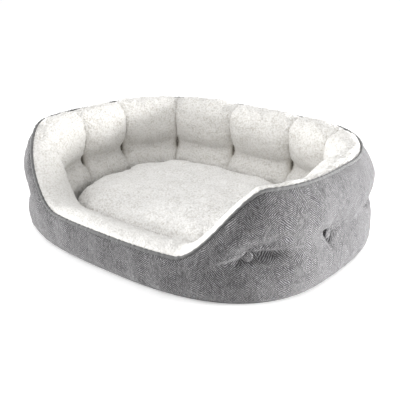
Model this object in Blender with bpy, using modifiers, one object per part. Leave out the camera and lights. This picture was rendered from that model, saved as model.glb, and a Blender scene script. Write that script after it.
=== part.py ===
"""Pet cushion bed: a tufted, fibre-filled bolster wall with a low front, and a lift-out cushion.

Metres, +Z up. The origin is on the floor under the middle of the bed, +X runs along its length
to its right end, and the low front faces -Y.

The wall is a loft. Its cross-section is a loop of points, each an offset outwards from the plan
outline and a height, and it is carried round the plan outline. Two such sections are written
down: the tall one, for the back and the ends, and the low one, for the front.
"""

import math

import bmesh
import bpy
import numpy as np

# Plan of the bed
BED_LENGTH = 0.80
BED_WIDTH = 0.655
PLAN_POWER = 2.8  # 2 is an ellipse, and more is squarer

# Wall
WALL_HEIGHT = 0.233
WALL_THICKNESS = 0.095
SIDE_BULGE = 0.004
BASE_TUCK = 0.012  # how far the wall's foot is drawn in under its side
FRONT_HEIGHT = 0.095  # top of the low front roll
RISE_LENGTH = 0.160  # of the slope from the low front up to the full height
RISE_PAST_TUFT = 0.030  # the slope ends this far past the first tuft
PIPING_INSET = 0.027
PIPING_DROP = 0.008  # piping seam, below the top of the wall

# Cloth
OUTER_CLOTH = 0.002
SHERPA = 0.006
BASE_CLOTH = 0.003
PIPING_DIAMETER = 0.007

# Tufts
TUFTS = 10
FRONT_WITHOUT_TUFTS = 0.600  # length of wall along the front, measured on its middle line
TUFT_DRIFT = [0, 0.003, 0.030, 0, -0.027, -0.006, 0.007, 0.020, 0, 0]  # hand tufting, off even spacing
OUTER_TUFT_HEIGHT = 0.105
INNER_TUFT_HEIGHT = 0.105
OUTER_PINCH = 0.015
INNER_PINCH = 0.034
OUTER_BUTTON = 0.020
INNER_BUTTON = 0.014
BUTTON_DOME = 0.3  # height of a button, as a share of its diameter
TWINE_DIAMETER = 0.002

# Cushion
CUSHION_CROWN = 0.092
CUSHION_EDGE = 0.036  # height of the seam round its edge
CUSHION_CLEARANCE = 0.008

# Gaps
SEAM_GAP = 0.0005  # between two cloths that are sewn together
PIPING_GAP = 0.001  # between the piping and the seam under it
LAY_GAP = 0.0003  # between a piece and what it lies on
FILL_GAP = 0.002  # between the fill and the cloth round it
HOLE_CLEARANCE = 0.0005  # round a twine

# Facets
STEPS_BETWEEN_TUFTS = 4
STEPS_ALONG_FRONT = 14
CUSHION_STEPS = 36
BUTTON_STEPS = 12

FLOOR_OF_WALL = BASE_CLOTH + LAY_GAP
FRONT_HALF_LENGTH = FRONT_WITHOUT_TUFTS / 2 + RISE_PAST_TUFT - RISE_LENGTH  # from its middle to the slope
FOOT_TURN = 0.013  # height of the first turn of the cloth above the wall's foot
SHOULDER = 0.010  # from the piping to the top of the rim
SEAT_MARGIN = 0.002  # flat cloth round a button
SEAM = 7  # index of the piping seam in a section
OUTER_SEAT = [3, 4]  # the points below and above the outer button
INNER_SEAT = [12, 13]  # the points above and below the inner button
SEATS = OUTER_SEAT + INNER_SEAT
SWELLS = [(5, 4, 7, 0.50), (6, 4, 7, 0.80), (11, 12, 10, 0.55)]  # point, the two it is between, share
LATER = 0.0  # a height that SWELLS sets


def clear_scene():
    for obj in list(bpy.data.objects):
        bpy.data.objects.remove(obj)


def new_collection(name):
    collection = bpy.data.collections.new(name)
    bpy.context.scene.collection.children.link(collection)
    return collection


def material(name, colour, roughness, metallic=0.0):
    made = bpy.data.materials.new(name)
    made.use_nodes = True
    shader = made.node_tree.nodes["Principled BSDF"]
    shader.inputs["Base Color"].default_value = (*colour, 1.0)
    shader.inputs["Roughness"].default_value = roughness
    shader.inputs["Metallic"].default_value = metallic
    return made


def add_object(name, data, collection, finish):
    obj = bpy.data.objects.new(name, data)
    if finish and not data.materials:
        data.materials.append(finish)
    collection.objects.link(obj)
    return obj


# ---------------------------------------------------------------- plan


def plan_outline(offset, count=1440):
    """Points of the plan outline moved outwards by offset, anticlockwise from the middle of the front."""
    angle = np.linspace(-math.pi / 2, 1.5 * math.pi, count, endpoint=False)
    c, s = np.cos(angle), np.sin(angle)
    half_length = BED_LENGTH / 2 - SIDE_BULGE
    half_width = BED_WIDTH / 2 - SIDE_BULGE
    power = 2 / PLAN_POWER
    x = half_length * np.sign(c) * abs(c) ** power
    y = half_width * np.sign(s) * abs(s) ** power
    normal = np.stack(
        [
            np.sign(c) * abs(c) ** (2 - power) / half_length,
            np.sign(s) * abs(s) ** (2 - power) / half_width,
        ],
        axis=1,
    )
    normal /= np.linalg.norm(normal, axis=1)[:, None]
    return np.stack([x, y], axis=1) + offset * normal, normal


class Plan:
    """The wall's middle line in plan, read by the distance along it from the middle of the front."""

    def __init__(self):
        middle, _ = plan_outline(-WALL_THICKNESS / 2)
        closed = np.vstack([middle, middle[:1]])
        steps = np.linalg.norm(np.diff(closed, axis=0), axis=1)
        self.distance = np.concatenate([[0], np.cumsum(steps)])
        self.length = self.distance[-1]
        self.outline, self.normal = plan_outline(0)

    def at(self, distance):
        """The outline point and the outward normal at one distance."""
        where = distance % self.length
        closed_outline = np.vstack([self.outline, self.outline[:1]])
        closed_normal = np.vstack([self.normal, self.normal[:1]])
        point = [np.interp(where, self.distance, closed_outline[:, i]) for i in range(2)]
        normal = [np.interp(where, self.distance, closed_normal[:, i]) for i in range(2)]
        return np.array(point), np.array(normal) / np.linalg.norm(normal)

    def from_front(self, distance):
        """Distance along the wall to the middle of the front, the shorter way."""
        where = distance % self.length
        return min(where, self.length - where)


# ---------------------------------------------------------------- section


def tall_section(outer_pinch, inner_pinch):
    """Offset and height of each point: up the outer side, over the rim and down the inner side."""
    top = WALL_HEIGHT
    thick = WALL_THICKNESS
    outer_seat = (OUTER_BUTTON / 2) + SEAT_MARGIN
    inner_seat = (INNER_BUTTON / 2) + SEAT_MARGIN
    return np.array(
        [
            (-BASE_TUCK, FLOOR_OF_WALL),
            (-BASE_TUCK / 4, FLOOR_OF_WALL + FOOT_TURN),
            (SIDE_BULGE, OUTER_TUFT_HEIGHT * 0.45),
            (-outer_pinch, OUTER_TUFT_HEIGHT - outer_seat),
            (-outer_pinch, OUTER_TUFT_HEIGHT + outer_seat),
            (SIDE_BULGE, LATER),
            (-PIPING_INSET * 0.35, LATER),
            (-PIPING_INSET, top - PIPING_DROP),
            (-PIPING_INSET - SHOULDER, top - SHOULDER * 0.2),
            (-thick * 0.53, top),
            (-thick * 0.78, top - SHOULDER * 1.2),
            (-thick * 0.98, LATER),
            (-thick * 0.91 + inner_pinch, INNER_TUFT_HEIGHT + inner_seat),
            (-thick * 0.91 + inner_pinch, INNER_TUFT_HEIGHT - inner_seat),
            (-thick, INNER_TUFT_HEIGHT * 0.55),
            (-thick * 0.98, FLOOR_OF_WALL + FOOT_TURN),
            (-thick * 0.90, FLOOR_OF_WALL),
        ]
    )


def low_section():
    """The same points where the wall is the low front roll."""
    top = FRONT_HEIGHT
    thick = WALL_THICKNESS
    return np.array(
        [
            (-BASE_TUCK, FLOOR_OF_WALL),
            (-BASE_TUCK / 4, FLOOR_OF_WALL + FOOT_TURN),
            (SIDE_BULGE * 0.7, top * 0.28),
            (SIDE_BULGE, top * 0.44),
            (SIDE_BULGE, top * 0.60),
            (SIDE_BULGE * 0.7, LATER),
            (0.0, LATER),
            (-PIPING_INSET * 0.15, top - PIPING_DROP * 1.4),
            (-PIPING_INSET * 0.6, top - SHOULDER * 0.4),
            (-thick * 0.45, top),
            (-thick * 0.72, top - SHOULDER * 0.6),
            (-thick * 0.94, LATER),
            (-thick * 0.98, top * 0.62),
            (-thick, top * 0.48),
            (-thick, top * 0.34),
            (-thick * 0.97, FLOOR_OF_WALL + FOOT_TURN),
            (-thick * 0.90, FLOOR_OF_WALL),
        ]
    )


def section_normals(section):
    """The outward direction at each point of a section, level at the two feet."""
    along = np.diff(section, axis=0)
    along /= np.linalg.norm(along, axis=1)[:, None]
    edge = np.stack([along[:, 1], -along[:, 0]], axis=1)
    normal = np.vstack([[1, 0], edge[:-1] + edge[1:], [-1, 0]])
    normal /= np.linalg.norm(normal, axis=1)[:, None]
    # Longer at a corner, so that the cloth keeps its thickness beside it.
    side = np.vstack([edge[:1], edge])
    return normal / np.maximum(0.7, (normal * side).sum(axis=1))[:, None]


def tallness(plan, distance):
    """0 along the low front, 1 round the back and the ends."""
    share = (plan.from_front(distance) - FRONT_HALF_LENGTH) / RISE_LENGTH
    share = min(1.0, max(0.0, share))
    return share * share * (3 - 2 * share)


# ---------------------------------------------------------------- stations


class Wall:
    """The wall's sections at each station round the plan, as points in space."""

    def __init__(self):
        self.plan = Plan()
        self.pitch = (self.plan.length - FRONT_WITHOUT_TUFTS) / (TUFTS - 1)
        even = [FRONT_WITHOUT_TUFTS / 2 + i * self.pitch for i in range(TUFTS)]
        self.tufts = [place + drift for place, drift in zip(even, TUFT_DRIFT)]
        self.seat = OUTER_BUTTON / 2 + SEAT_MARGIN
        self.stations = self.station_list()
        sections = [self.section(distance) for distance in self.stations]
        self.surface = np.array([points for points, _ in sections])
        self.normal = np.array([normals for _, normals in sections])

    def station_list(self):
        """Distances along the wall: both edges of each tuft's flat, and steps between them."""
        stations = []
        ends = self.tufts + [self.tufts[0] + self.plan.length]
        for start, end in zip(ends[:-1], ends[1:]):
            steps = STEPS_BETWEEN_TUFTS if end < self.plan.length else STEPS_ALONG_FRONT
            stations.append(start - self.seat)
            inner = np.linspace(start + self.seat, end - self.seat, steps, endpoint=False)
            stations.extend(inner)
        return np.array(stations)

    def pinch(self, distance):
        """1 on a tuft's flat, falling to 0 half way to the next tuft and along the front."""
        away = min(abs(distance - tuft) for tuft in self.tufts)
        share = max(0.0, away - self.seat) / (self.pitch / 2 - self.seat)
        return max(0.0, 1 - share) ** 2

    def section(self, distance):
        """The section's points in space, and the outward direction at each."""
        pinch = self.pinch(distance % self.plan.length)
        tall = tall_section(OUTER_PINCH * pinch, INNER_PINCH * pinch)
        share = tallness(self.plan, distance)
        profile = tall * share + low_section() * (1 - share)
        flat = max(share, pinch)
        profile[SEATS] = tall[SEATS] * flat + low_section()[SEATS] * (1 - flat)
        for index, below, above, rise in SWELLS:
            profile[index, 1] = profile[below, 1] * (1 - rise) + profile[above, 1] * rise
        direction = section_normals(profile)
        point, normal = self.plan.at(distance)
        outline = np.array([*point, 0.0])
        outward = np.array([*normal, 0.0])
        up = np.array([0.0, 0.0, 1.0])
        points = outline + profile[:, :1] * outward + profile[:, 1:] * up
        return points, direction[:, :1] * outward + direction[:, 1:] * up

    def skin(self, first, last, thickness):
        """Closed loops round a cloth that covers the points from first to last."""
        outer = self.surface[:, first : last + 1].copy()
        normal = self.normal[:, first : last + 1]
        if last == SEAM:
            outer[:, -1] += SEAM_GAP * unit(outer[:, -2] - outer[:, -1])
        if first == SEAM:
            outer[:, 0] += SEAM_GAP * unit(outer[:, 1] - outer[:, 0])
        inner = outer - thickness * normal
        return np.concatenate([outer, inner[:, ::-1]], axis=1)

    def fill_loops(self):
        """Closed loops round the fill, under the cloth."""
        depth = np.full(self.surface.shape[1], SHERPA + FILL_GAP)
        depth[:SEAM] = OUTER_CLOTH + FILL_GAP
        return self.surface - depth[None, :, None] * self.normal

    def fill_span(self, start, end):
        """The fill's loops from just after one tuft's twine to just before the next one's."""
        loops = self.fill_loops()
        gap = TWINE_DIAMETER / 2 + HOLE_CLEARANCE
        stations = self.stations
        first = int(np.argmin(abs(stations - (start + self.seat))))
        last = int(np.argmin(abs(stations - ((end - self.seat) % self.plan.length))))
        count = len(stations)
        inside = [i % count for i in range(first, last + 1 if last > first else last + 1 + count)]
        share = (self.seat - gap) / (2 * self.seat)
        before = loops[first] + (loops[first - 1] - loops[first]) * share
        after = loops[last] + (loops[(last + 1) % count] - loops[last]) * share
        return np.concatenate([[before], loops[inside], [after]])

    def tuft_line(self, index):
        """The middle of a tuft's flat on the outer cloth and on the lining, and the outward way."""
        station = int(np.argmin(abs(self.stations - (self.tufts[index] - self.seat))))
        pair = self.surface[[station, (station + 1) % len(self.stations)]]
        outer = pair[:, OUTER_SEAT].mean(axis=(0, 1))
        inner = pair[:, INNER_SEAT].mean(axis=(0, 1))
        _, normal = self.plan.at(self.tufts[index])
        return outer, inner, np.array([*normal, 0.0])


def unit(vector):
    return vector / np.linalg.norm(vector, axis=-1, keepdims=True)


# ---------------------------------------------------------------- meshes


def loft(name, loops, collection, finish, ring=False, backward_from=math.inf):
    """A closed body through a row of loops: joined end to end in a ring, or capped at both ends.

    The points from backward_from on run against the section, so their faces are split along the
    other diagonal: a cloth's two sides and the fill behind it then have the same facets.
    """
    rows, count = loops.shape[:2]
    mesh = bpy.data.meshes.new(name)
    work = bmesh.new()
    points = [[work.verts.new(point) for point in loop] for loop in loops]
    for row in range(rows if ring else rows - 1):
        here, there = points[row], points[(row + 1) % rows]
        for i in range(count):
            j = (i + 1) % count
            corners = [here[i], here[j], there[j], there[i]]
            if i >= backward_from:
                corners = corners[1:] + corners[:1]
            work.faces.new(corners[:3])
            work.faces.new([corners[0], *corners[2:]])
    if not ring:
        work.faces.new(points[0])
        work.faces.new(points[-1])
    bmesh.ops.recalc_face_normals(work, faces=work.faces)
    work.to_mesh(mesh)
    work.free()
    mesh.shade_smooth()
    return add_object(name, mesh, collection, finish)


def tube(name, points, diameter, collection, finish, closed=False, resolution=2):
    """A round cord through a list of points."""
    curve = bpy.data.curves.new(name, "CURVE")
    curve.dimensions = "3D"
    curve.bevel_depth = diameter / 2
    curve.bevel_resolution = resolution
    curve.use_fill_caps = True
    spline = curve.splines.new("POLY")
    spline.points.add(len(points) - 1)
    for target, point in zip(spline.points, points):
        target.co = (*point, 1.0)
    spline.use_cyclic_u = closed
    return add_object(name, curve, collection, finish)


# ---------------------------------------------------------------- pieces


def make_base_panel(collection, finish):
    """The flat cloth under the whole bed, sewn to the foot of the wall."""
    outline, _ = plan_outline(-BASE_TUCK, 64)
    curve = bpy.data.curves.new("base_panel", "CURVE")
    curve.dimensions = "2D"
    curve.fill_mode = "BOTH"
    curve.extrude = BASE_CLOTH / 2
    spline = curve.splines.new("POLY")
    spline.points.add(len(outline) - 1)
    for target, point in zip(spline.points, outline):
        target.co = (*point, 0.0, 1.0)
    spline.use_cyclic_u = True
    panel = add_object("base_panel", curve, collection, finish)
    panel.location.z = BASE_CLOTH / 2


def make_skin(name, loops, collection, finish):
    """A cloth from its loops, whose second half is the side against the fill."""
    return loft(name, loops, collection, finish, ring=True, backward_from=loops.shape[1] // 2)


def make_skins(wall, collection, cutters, outer_finish, lining_finish):
    """The outer cover and the lining, each with a hole at every tuft."""
    foot = wall.surface.shape[1] - 1
    outer = make_skin("outer_cover", wall.skin(0, SEAM, OUTER_CLOTH), collection, outer_finish)
    lining = make_skin("wall_lining", wall.skin(SEAM, foot, SHERPA), collection, lining_finish)
    for index in range(TUFTS):
        outside, inside, _ = wall.tuft_line(index)
        along = unit(outside - inside)
        make_hole_cutter(index, inside - 0.03 * along, outside + 0.03 * along, cutters)
    for skin in (outer, lining):
        cut = skin.modifiers.new("Tuft holes", "BOOLEAN")
        cut.operation = "DIFFERENCE"
        cut.solver = "MANIFOLD"
        cut.operand_type = "COLLECTION"
        cut.collection = cutters


def make_hole_cutter(index, start, end, cutters):
    """A straight six-sided cutter from start to end."""
    along = unit(end - start)
    across = unit(np.cross(along, [0.0, 0.0, 1.0]))
    over = np.cross(across, along)
    radius = TWINE_DIAMETER / 2 + HOLE_CLEARANCE
    angles = [math.radians(60 * i) for i in range(6)]
    ring = np.array([radius * (math.cos(a) * across + math.sin(a) * over) for a in angles])
    cutter = loft(f"hole_cutter_{index + 1}", np.array([start + ring, end + ring]), cutters, None)
    cutter.hide_render = True
    cutter.display_type = "WIRE"


def make_piping(wall, collection, finish):
    """The corded piping, laid over the seam between the outer cover and the lining."""
    rise = PIPING_DIAMETER / 2 + PIPING_GAP
    points = wall.surface[:, SEAM] + rise * unit(wall.normal[:, SEAM])
    tube("rim_piping", points, PIPING_DIAMETER, collection, finish, closed=True)


def make_fill(wall, collection, finish):
    """The fibre fill: one puff between each two tufts, and the long roll along the front."""
    for index in range(TUFTS - 1):
        loops = wall.fill_span(wall.tufts[index], wall.tufts[index + 1])
        loft(f"wall_fill_{index + 1:02d}", loops, collection, finish)
    loops = wall.fill_span(wall.tufts[-1], wall.tufts[0] + wall.plan.length)
    loft("front_roll_fill", loops, collection, finish)


def button_mesh(name, diameter):
    """The half profile of a domed button, with its flat back at z = 0."""
    radius = diameter / 2
    height = diameter * BUTTON_DOME
    profile = [(0, 1), (0.55, 0.92), (0.85, 0.68), (1, 0.33), (0.92, 0), (0, 0)]
    points = [(share * radius, 0, rise * height) for share, rise in profile]
    mesh = bpy.data.meshes.new(name)
    mesh.from_pydata(points, [(i, i + 1) for i in range(len(points) - 1)], [])
    return mesh


def add_button(name, mesh, place, outward, collection, finish):
    """A button whose flat back stands at place, facing outward."""
    button = add_object(name, mesh, collection, finish)
    turn = button.modifiers.new("Turned", "SCREW")
    turn.steps = BUTTON_STEPS
    turn.render_steps = BUTTON_STEPS
    turn.use_merge_vertices = True
    turn.merge_threshold = 0.00001
    button.location = place
    button.rotation_euler = (0, math.pi / 2, math.atan2(outward[1], outward[0]))


def make_tufts(wall, collection, outer_finish, inner_finish, twine_finish):
    """Each tuft: a covered button outside, a small one inside, and the twine between them."""
    outer_mesh = button_mesh("outer_button", OUTER_BUTTON)
    inner_mesh = button_mesh("inner_button", INNER_BUTTON)
    for index in range(TUFTS):
        number = f"{index + 1:02d}"
        outer, inner, outward = wall.tuft_line(index)
        outer_back = outer + SEAM_GAP * outward
        inner_back = inner - SEAM_GAP * outward
        add_button(f"outer_button_{number}", outer_mesh, outer_back, outward, collection, outer_finish)
        add_button(f"inner_button_{number}", inner_mesh, inner_back, -outward, collection, inner_finish)
        along = unit(outer_back - inner_back)
        ends = (inner_back + LAY_GAP * along, outer_back - LAY_GAP * along)
        tube(f"tuft_twine_{number}", ends, TWINE_DIAMETER, collection, twine_finish)


def cushion_rings(profile, shrink):
    """Level rings round the cushion: each profile point is a share of the reach and a height."""
    reach = -(WALL_THICKNESS + CUSHION_CLEARANCE + shrink)
    edge, _ = plan_outline(reach, CUSHION_STEPS)
    return np.array([[(x * share, y * share, z) for x, y in edge] for share, z in profile])


def make_cushion(collection, cover_finish, under_finish, fill_finish):
    """The loose cushion: a plush top cover, an under cover, and the fill between them."""
    low = BASE_CLOTH + LAY_GAP
    seam = CUSHION_EDGE
    crown = CUSHION_CROWN
    swell = crown - seam
    top = [(1, seam), (0.985, seam + 0.30 * swell), (0.93, seam + 0.52 * swell)]
    top += [(0.80, seam + 0.74 * swell), (0.58, seam + 0.90 * swell), (0.28, crown)]
    drop = seam - low
    under = [(1, seam), (0.985, seam - 0.45 * drop), (0.945, seam - 0.80 * drop), (0.88, low)]

    def inset(profile, thickness, sign):
        return [(share, z + sign * thickness) for share, z in profile]

    half_gap = SEAM_GAP / 2
    outside = cushion_rings(inset(top, half_gap, 1), 0)
    inside = cushion_rings(inset(top[:1], half_gap, 1) + inset(top[1:], SHERPA, -1), SHERPA)
    loft("cushion_top_cover", np.concatenate([inside[::-1], outside]), collection, cover_finish)
    outside = cushion_rings(inset(under, half_gap, -1)[:-1] + [under[-1]], 0)
    inside = cushion_rings(inset(under[:1], half_gap, -1) + inset(under[1:], OUTER_CLOTH, 1), SHERPA)
    loft("cushion_under_cover", np.concatenate([inside[::-1], outside]), collection, under_finish)
    tight = SHERPA + FILL_GAP
    upper = cushion_rings([(s, z - tight) for s, z in top[1:]], tight)
    lower = cushion_rings([(s, z + OUTER_CLOTH + FILL_GAP) for s, z in under[1:]], tight)
    loft("cushion_fill", np.concatenate([lower[::-1], upper]), collection, fill_finish)


def main():
    clear_scene()
    parts = new_collection("pet_cushion_bed")
    cutters = new_collection("cutters")
    cutters.hide_render = True

    tweed = material("Grey herringbone tweed", (0.27, 0.27, 0.28), 0.9)
    plush = material("White plush", (0.80, 0.79, 0.75), 0.95)
    piping = material("Dark grey piping", (0.13, 0.13, 0.14), 0.8)
    base = material("Dotted base cloth", (0.10, 0.10, 0.11), 0.85)
    plain = material("Plain light cloth", (0.62, 0.61, 0.58), 0.9)
    fibre = material("Polyester fibre", (0.86, 0.86, 0.86), 1.0)
    twine = material("Waxed twine", (0.55, 0.55, 0.54), 0.6)

    wall = Wall()
    make_base_panel(parts, base)
    make_skins(wall, parts, cutters, tweed, plush)
    make_piping(wall, parts, piping)
    make_fill(wall, parts, fibre)
    make_tufts(wall, parts, tweed, plush, twine)
    make_cushion(parts, plush, plain, fibre)


main()
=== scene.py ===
import math

import bmesh
import bpy
import numpy as np
from mathutils import Matrix, Vector


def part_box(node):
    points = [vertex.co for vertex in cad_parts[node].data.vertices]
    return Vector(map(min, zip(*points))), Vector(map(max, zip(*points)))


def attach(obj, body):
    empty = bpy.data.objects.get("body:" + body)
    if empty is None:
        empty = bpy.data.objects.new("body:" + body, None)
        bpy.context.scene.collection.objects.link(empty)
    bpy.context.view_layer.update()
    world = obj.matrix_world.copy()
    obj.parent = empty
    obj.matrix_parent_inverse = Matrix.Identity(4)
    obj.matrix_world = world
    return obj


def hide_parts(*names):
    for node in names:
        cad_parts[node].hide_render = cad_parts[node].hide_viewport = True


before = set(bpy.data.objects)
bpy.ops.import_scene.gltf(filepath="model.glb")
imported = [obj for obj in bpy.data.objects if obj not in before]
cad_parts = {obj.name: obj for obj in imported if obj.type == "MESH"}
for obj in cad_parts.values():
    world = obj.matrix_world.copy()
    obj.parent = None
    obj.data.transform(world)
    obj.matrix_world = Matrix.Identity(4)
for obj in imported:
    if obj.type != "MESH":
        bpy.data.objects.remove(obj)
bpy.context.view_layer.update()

# A tufted bolster bed: a padded wall with a low front round a loose cushion.
# Metres, +Z up, the low front faces -Y. Every piece is a grid of points worked out with numpy.

scene = bpy.context.scene
scene.view_settings.view_transform = "Standard"

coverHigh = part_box("outer_cover")[1]
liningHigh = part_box("wall_lining")[1]
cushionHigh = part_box("cushion_top_cover")[1]
panelLow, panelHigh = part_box("base_panel")

bed = {
    "power": 2.8,  # 2 is an ellipse in plan, and more is squarer
    "bulge": 0.004,  # how far the side stands out past the plan outline
    "thick": 0.095,  # the wall, from outside to inside
    "top": liningHigh.z,
    "foot": panelHigh.z + 0.0003,
    "frontTop": 0.095,  # height of the low front
    # Where the rim starts to rise, from the middle of the front, and over how far.
    "slopes": {"right": (0.176, 0.156), "left": (0.135, 0.240)},
    "tufts": 10,
}
bed["halfLength"] = coverHigh.x - bed["bulge"]  # of the plan outline
bed["halfWidth"] = coverHigh.y - bed["bulge"]


def planAt(angle, offset=0.0):
    # Superellipse: x = a sgn(cos) |cos|^(2/n), y the same with sin, then moved along its normal.
    c, s = np.cos(angle), np.sin(angle)
    a, b, k = bed["halfLength"], bed["halfWidth"], 2 / bed["power"]
    normal = np.stack([np.sign(c) * abs(c) ** (2 - k) / a, np.sign(s) * abs(s) ** (2 - k) / b], -1)
    normal /= np.linalg.norm(normal, axis=-1, keepdims=True)
    point = np.stack([a * np.sign(c) * abs(c) ** k, b * np.sign(s) * abs(s) ** k], -1)
    return point + np.asarray(offset)[..., None] * normal, normal


class Path:
    # The wall's middle line, read by the distance along it from the middle of the front, rightwards.
    # Distance is the running sum of the chord lengths between samples at even angles.
    def __init__(self, samples=16000):
        self.angle = np.linspace(-math.pi / 2, 1.5 * math.pi, samples + 1)
        line, _ = planAt(self.angle, np.full(samples + 1, -bed["thick"] / 2))
        steps = np.linalg.norm(np.diff(line, axis=0), axis=1)
        self.distance = np.concatenate([[0], np.cumsum(steps)])
        self.length = self.distance[-1]
        self.line = line

    def outlineAt(self, distance):
        # Points of the plan outline and their outward ways.
        return planAt(np.interp(distance % self.length, self.distance, self.angle))

    def nearest(self, x, y):
        # The distance along the line of its sample nearest to a point.
        gap = np.hypot(self.line[:, 0] - x, self.line[:, 1] - y)
        return self.distance[int(np.argmin(gap))]


path = Path()


def middleOf(node):
    # The middle of a CAD node's box.
    low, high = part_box(node)
    return (low + high) / 2


tuftAt = []
for number in range(1, bed["tufts"] + 1):
    middle = middleOf(f"tuft_twine_{number:02d}")
    tuftAt.append(path.nearest(middle.x, middle.y))
tuftAt = np.array(tuftAt)
tuftPitch = float(np.mean(np.diff(tuftAt)))
outerTuftHeight = middleOf("outer_button_05").z
innerTuftHeight = middleOf("inner_button_05").z


def smooth(value):
    # 3v^2 - 2v^3: 0 up to 0, 1 from 1 on, with a soft start and end.
    value = np.clip(value, 0, 1)
    return value * value * (3 - 2 * value)


def tallness(distance):
    # 0 along the low front, 1 round the back and the ends.
    where = distance % path.length
    start, over = bed["slopes"]["right"]
    right = smooth((where - start) / over)
    start, over = bed["slopes"]["left"]
    return np.minimum(right, smooth((path.length - where - start) / over))


def fromTuft(distance):
    # Signed distance along the wall to the nearest tuft.
    gap = (distance[..., None] - tuftAt + path.length / 2) % path.length - path.length / 2
    return np.take_along_axis(gap, abs(gap).argmin(-1)[..., None], -1)[..., 0]


def waves(points, length, seed, count=14):
    # Smooth noise of about unit size: a sum of sine waves of about one length, in seeded directions.
    rng = np.random.default_rng(seed)
    way = rng.normal(size=(count, 3))
    way /= np.linalg.norm(way, axis=1)[:, None]
    way *= (2 * math.pi / length) * rng.uniform(0.75, 1.3, (count, 1))
    phase = rng.uniform(0, 2 * math.pi, count)
    total = np.zeros(points.shape[:-1])
    for k in range(count):
        total += np.sin(points @ way[k] + phase[k])
    return total / math.sqrt(count)


# Sections of the wall where it is tall and where it is low, as offset from the plan outline and
# height: up the outside from foot to seam, then over the rim and down the inside.
footZ, rimZ, frontZ, tuftZ = bed["foot"], bed["top"], bed["frontTop"], innerTuftHeight
tallOuter = [
    (-0.0080, footZ), (-0.0020, footZ + 0.0070), (0.0045, 0.034), (0.0060, 0.060), (0.0030, 0.084),
    (-0.0030, outerTuftHeight), (0.0020, 0.127), (0.0060, 0.152), (0.0030, 0.180), (-0.0080, 0.207),
    (-0.0225, rimZ - 0.0095),
]
lowOuter = [
    (-0.0080, footZ), (-0.0030, footZ + 0.0070), (0.0020, 0.021), (0.0035, 0.030), (0.0040, 0.038),
    (0.0040, 0.046), (0.0040, 0.054), (0.0035, 0.062), (0.0025, 0.070), (0.0005, 0.078),
    (-0.0035, frontZ - 0.0112),
]
tallInner = [
    (-0.0225, rimZ - 0.0095), (-0.0300, rimZ - 0.0035), (-0.0430, rimZ), (-0.0580, rimZ - 0.0015),
    (-0.0745, rimZ - 0.0085), (-0.0900, rimZ - 0.0230), (-0.0985, rimZ - 0.0450),
    (-0.1010, rimZ - 0.0700), (-0.0960, rimZ - 0.0940), (-0.0850, tuftZ + 0.0140), (-0.0730, tuftZ),
    (-0.0850, tuftZ - 0.0120), (-0.0950, tuftZ - 0.0280), (-0.1000, tuftZ - 0.0500),
    (-0.0950, footZ + 0.0240), (-0.0900, footZ + 0.0080), (-0.0850, footZ),
]
lowInner = [
    (-0.0035, frontZ - 0.0112), (-0.0085, frontZ - 0.0050), (-0.0170, frontZ - 0.0012),
    (-0.0290, frontZ + 0.0010), (-0.0420, frontZ + 0.0010), (-0.0550, frontZ - 0.0015),
    (-0.0680, frontZ - 0.0065), (-0.0790, frontZ - 0.0130), (-0.0870, frontZ - 0.0210),
    (-0.0925, frontZ - 0.0300), (-0.0960, frontZ - 0.0390), (-0.0975, frontZ - 0.0480),
    (-0.0975, frontZ - 0.0570), (-0.0960, frontZ - 0.0660), (-0.0935, footZ + 0.0160),
    (-0.0900, footZ + 0.0060), (-0.0850, footZ),
]


def curveThrough(control, where):
    # Catmull-Rom curve through control, (points, columns, 2), at places from 0 to points - 1.
    first = np.clip(np.floor(where).astype(int), 0, len(control) - 2)
    t = (where - first)[..., None]
    before, after = 2 * control[:1] - control[1:2], 2 * control[-1:] - control[-2:-1]
    padded = np.concatenate([before, control, after])
    column = np.arange(control.shape[1])[None]
    a, b, c, d = (padded[first + k, column] for k in range(4))
    square, cube = 2 * a - 5 * b + 4 * c - d, 3 * b - a - 3 * c + d
    return 0.5 * (2 * b + (c - a) * t + square * t**2 + cube * t**3)


seamRow = len(tallOuter) - 1
tallSection = np.array(tallOuter + tallInner[1:])
lowSection = np.array(lowOuter + lowInner[1:])

# How far the seam drifts along the section, in control points, by distance from the middle of the
# front. Above 0 is inwards.
seamDrift = {
    "at": [0.0, 0.20, 0.33, 0.55, 0.66, 0.82, 1.00, 1.50, 1.62, 1.85, 2.00, 2.1059],
    "by": [0.0, 0.0, 0.20, 0.20, 0.0, 0.0, -0.45, -0.45, 0.30, 0.20, 0.0, 0.0],
    "tuft": 0.45,  # the further drift at a tuft of the back
    "tuftReach": 0.030,
    "back": (0.90, 1.05, 1.52, 1.62),  # where the back comes in, is full, fades and ends
    "blend": 4,  # control points either side of the seam that take part
}


# The wall isn't the same all round: its top leans in at the right end and out at the front left, and
# its rim slopes inwards at the front right. Each is a middle and a half width along the wall, a depth,
# and the heights over which it comes in.
lean = {"middle": 0.71, "reach": 0.15, "depth": 0.013, "from": 0.13, "over": 0.10}
dip = {
    "middle": 0.40, "reach": 0.17, "depth": 0.019, "from": 0.13, "over": 0.06,
    "inFrom": 0.028, "inOver": 0.045,  # how far in from the outline it comes in too
}
swell = {"middle": 1.72, "reach": 0.22, "depth": 0.008, "from": 0.09, "over": 0.06}


def bump(distance, shape):
    # A smooth hill along the wall.
    return smooth(1 - abs(distance - shape["middle"]) / shape["reach"]) * shape["depth"]


def leaned(shape, distance):
    # Offsets move by the lean and the swell, and heights by the dip, each faded in above the waist.
    offset, height = shape[..., 0], shape[..., 1]
    inwards = bump(distance, lean)[None] * smooth((height - lean["from"]) / lean["over"])
    inwards = inwards - bump(distance, swell)[None] * smooth((height - swell["from"]) / swell["over"])
    pastRim = smooth((-offset - dip["inFrom"]) / dip["inOver"])
    lower = bump(distance, dip)[None] * pastRim * smooth((height - dip["from"]) / dip["over"])
    return np.stack([offset - inwards, height - lower], -1)


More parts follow.
